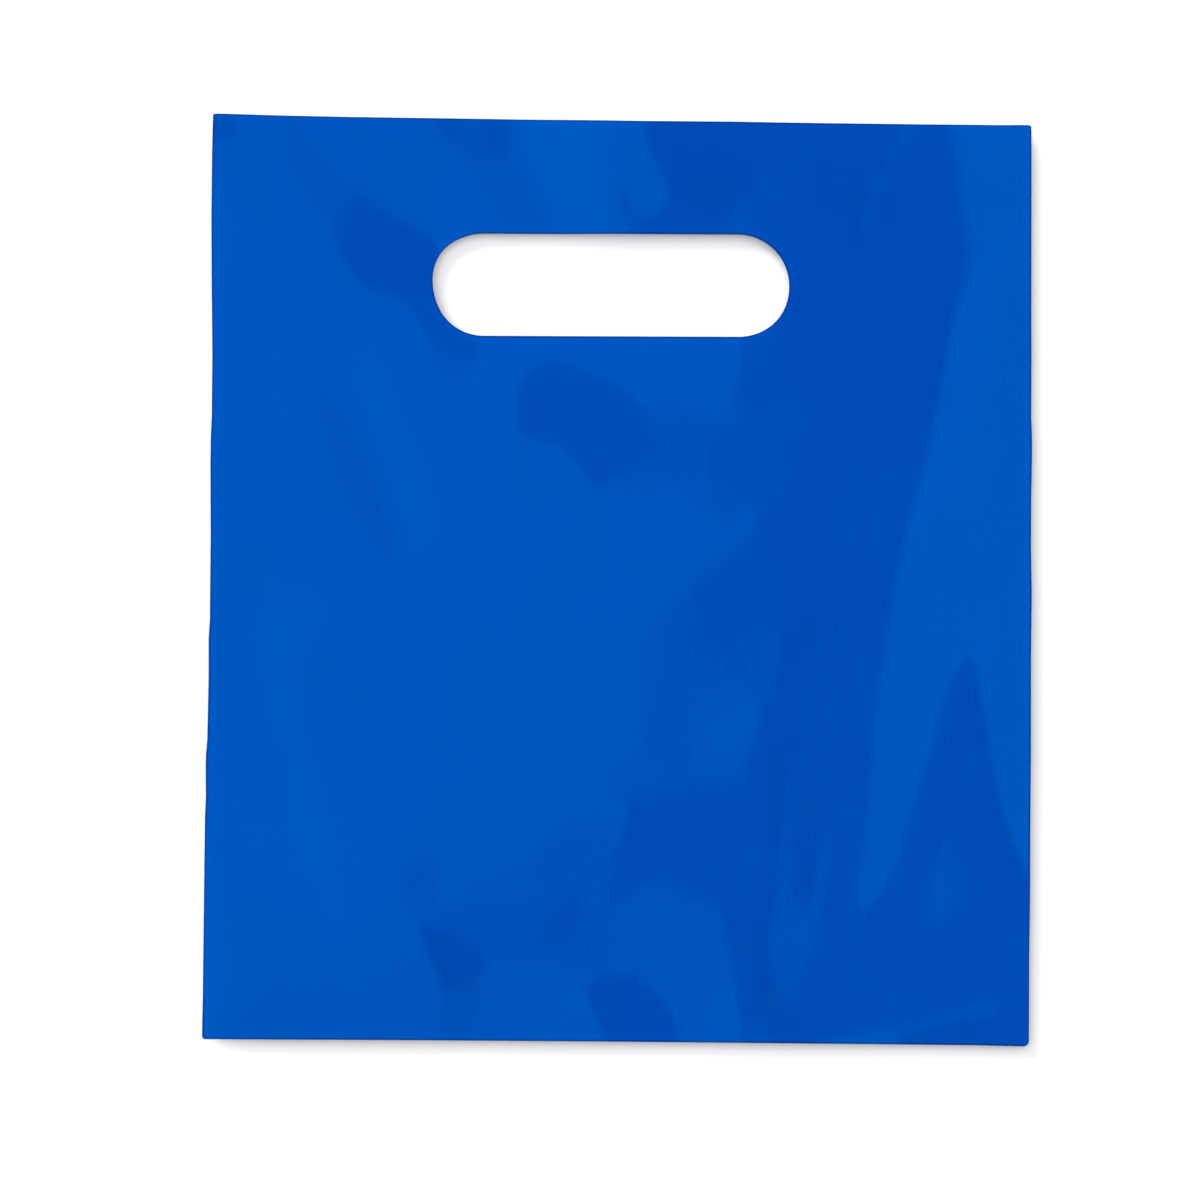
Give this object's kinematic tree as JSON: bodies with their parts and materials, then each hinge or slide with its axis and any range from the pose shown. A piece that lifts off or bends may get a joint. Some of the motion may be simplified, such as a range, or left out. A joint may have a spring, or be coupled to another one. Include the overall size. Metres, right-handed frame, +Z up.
{
  "type": "plastic carrier bag",
  "caption": "Small flat carrier bag of thin glossy blue film, side-welded and open at the top, with a punched hand slot, lying on its back.",
  "frame": {"origin": "middle of the bag's outline, on the surface that it lies on", "axes": "+Z up from the surface, +Y from the bottom fold towards the mouth, +X to the right as seen from above"},
  "size_m": [0.204, 0.2286, 0.0053],
  "materials": {
    "film": "glossy opaque polyethylene film"
  },
  "bodies": {
    "root": {"bag": "film"}
  },
  "joints": []
}
